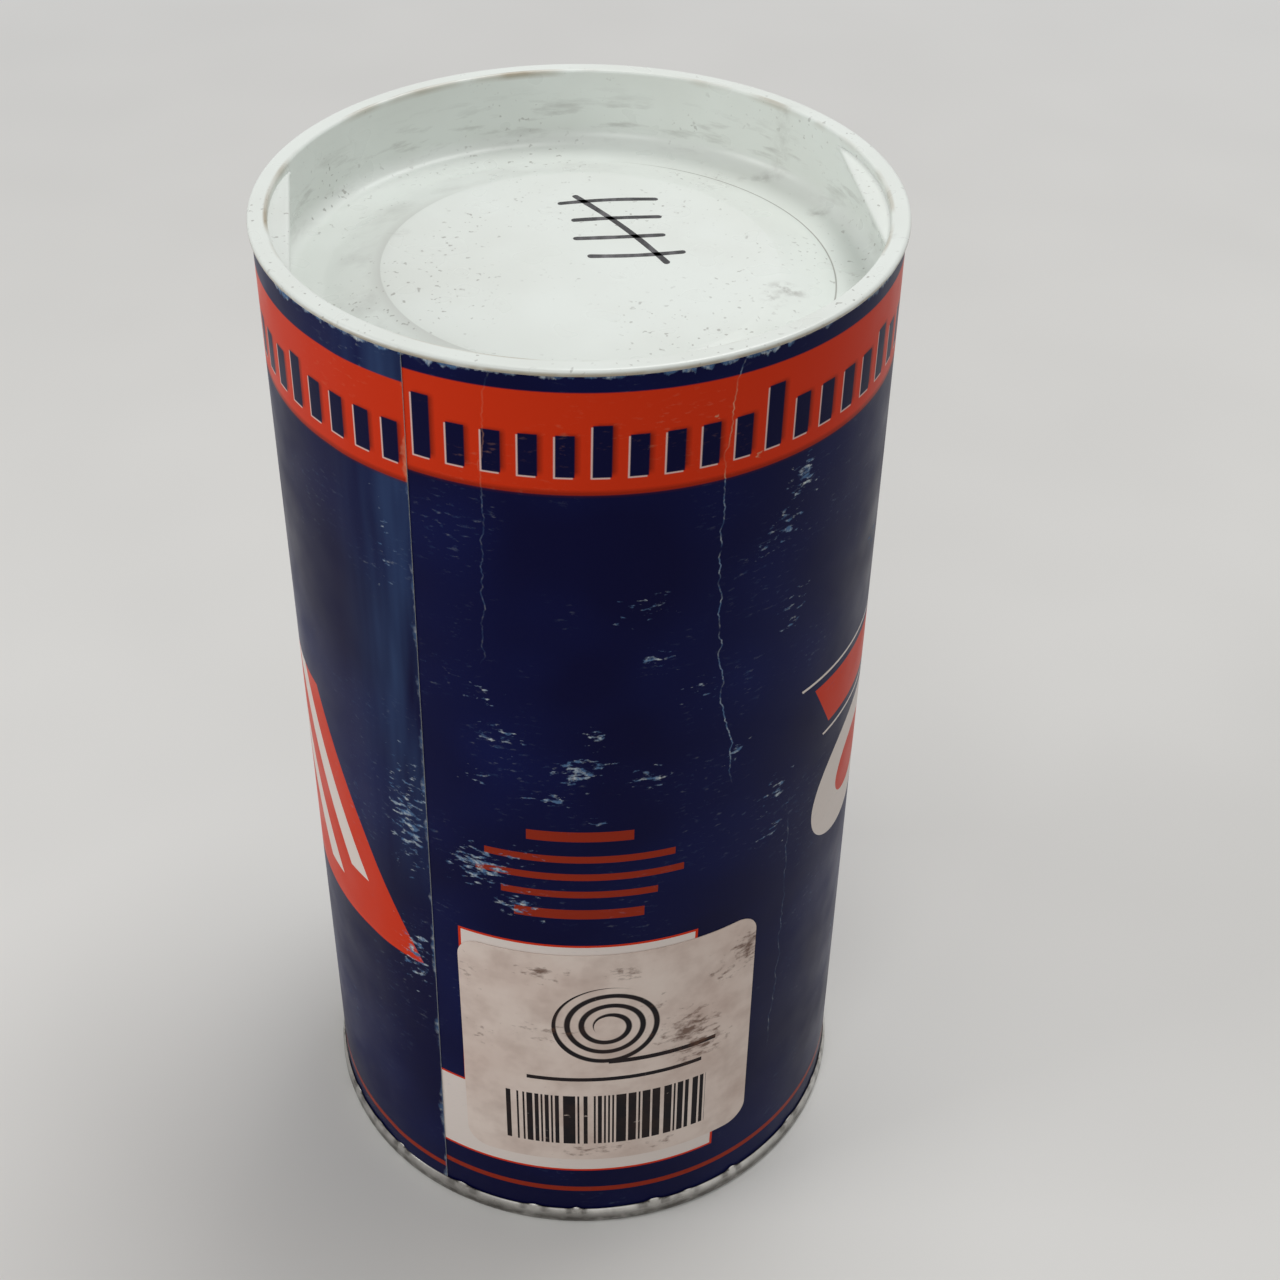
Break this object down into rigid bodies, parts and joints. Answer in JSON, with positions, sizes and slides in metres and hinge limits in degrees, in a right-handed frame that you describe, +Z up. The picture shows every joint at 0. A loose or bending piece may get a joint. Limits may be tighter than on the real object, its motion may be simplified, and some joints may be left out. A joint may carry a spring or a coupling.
{
  "type": "shim stock canister",
  "caption": "Upright paperboard canister with a crimped tinplate bottom and a recessed white plug lid, holding a coiled strip of stainless shim stock.",
  "frame": {"origin": "middle of the foot, on the surface that the canister stands on", "axes": "+Z up along the canister's axis; the front, with the sticker, faces -Y; +X to the right"},
  "size_m": [0.0924, 0.0924, 0.1736],
  "materials": {
    "paperboard": "spiral-wound grey-brown board",
    "printed_wrap": "coated paper printed dark blue and orange, rubbed and chipped",
    "sticker_paper": "matt uncoated label paper, soiled",
    "tinplate": "bright tinplate, crimped",
    "stainless_strip": "bright rolled stainless strip",
    "polyethylene": "white moulded polyethylene, satin, soiled"
  },
  "bodies": {
    "can": {"tube": "paperboard", "wrap_label": "printed_wrap", "sticker": "sticker_paper", "bottom_end": "tinplate", "shim_roll": "stainless_strip"},
    "lid": {"lid": "polyethylene"}
  },
  "joints": [
    {"name": "lid_lift", "type": "slide", "parent": "can", "child": "lid", "axis": [0, 0, 1], "range_m": [0, 0.06]}
  ]
}
